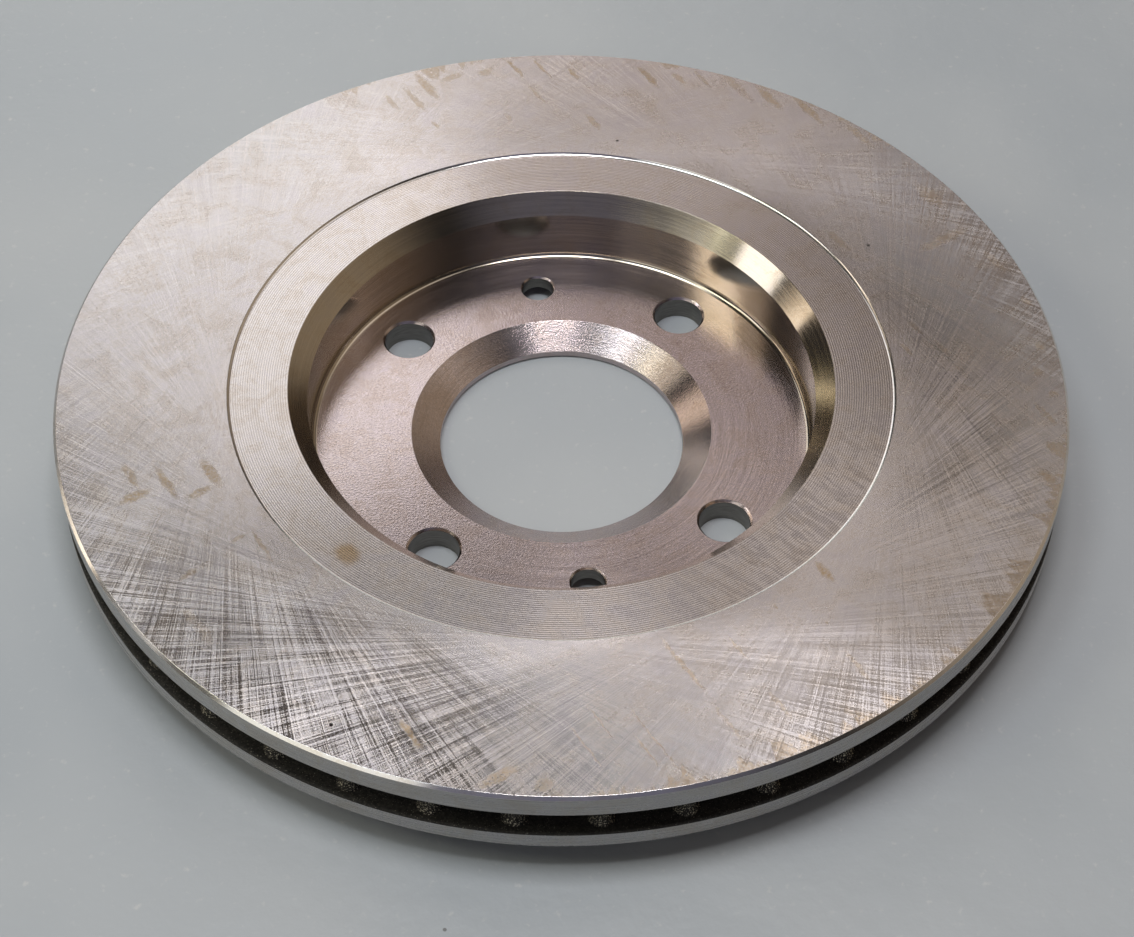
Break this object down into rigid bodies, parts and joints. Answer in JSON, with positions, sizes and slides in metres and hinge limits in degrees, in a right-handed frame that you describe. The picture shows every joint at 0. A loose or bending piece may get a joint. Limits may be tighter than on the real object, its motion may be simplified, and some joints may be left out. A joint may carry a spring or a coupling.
{
  "type": "brake disc",
  "caption": "Ventilated car brake disc: friction plates joined by radial cooling vanes, with a turned hat, centre bore, wheel-bolt holes and locating-screw holes.",
  "frame": {"origin": "centre of the wheel-side face of the hat, which the disc lies on at rest", "axes": "+Z along the disc's axis, from the wheel side to the inboard side; +Y through a locating-screw hole; +X midway between wheel-bolt holes"},
  "size_m": [0.266, 0.266, 0.028],
  "materials": {
    "ground_inboard_face": "ground bright with crossing swirl marks, lightly oiled, first brown oil stains near the rim",
    "ground_outboard_face": "ground bright with crossing swirl marks, lightly oiled",
    "turned_land": "turned, with clear feed lines, lightly oiled",
    "turned_hat": "turned, with fine feed lines, lightly oiled",
    "turned_flange": "turned satin, lightly oiled",
    "cast_skin": "dark sand-cast skin, rough"
  },
  "bodies": {
    "root": {"inboard_friction_plate": "ground_inboard_face", "outboard_friction_plate": "ground_outboard_face", "neck_ring": "turned_land", "hat_wall": "turned_hat", "mounting_flange": "turned_flange", "vane_01": "cast_skin", "vane_02": "cast_skin", "vane_03": "cast_skin", "vane_04": "cast_skin", "vane_05": "cast_skin", "vane_06": "cast_skin", "vane_07": "cast_skin", "vane_08": "cast_skin", "vane_09": "cast_skin", "vane_10": "cast_skin", "vane_11": "cast_skin", "vane_12": "cast_skin", "vane_13": "cast_skin", "vane_14": "cast_skin", "vane_15": "cast_skin", "vane_16": "cast_skin", "vane_17": "cast_skin", "vane_18": "cast_skin", "vane_19": "cast_skin", "vane_20": "cast_skin", "vane_21": "cast_skin", "vane_22": "cast_skin", "vane_23": "cast_skin", "vane_24": "cast_skin", "vane_25": "cast_skin", "vane_26": "cast_skin", "vane_27": "cast_skin", "vane_28": "cast_skin", "vane_29": "cast_skin", "vane_30": "cast_skin", "vane_31": "cast_skin", "vane_32": "cast_skin", "vane_33": "cast_skin", "vane_34": "cast_skin", "vane_35": "cast_skin", "vane_36": "cast_skin", "vane_37": "cast_skin", "vane_38": "cast_skin", "vane_39": "cast_skin", "vane_40": "cast_skin"}
  },
  "joints": []
}
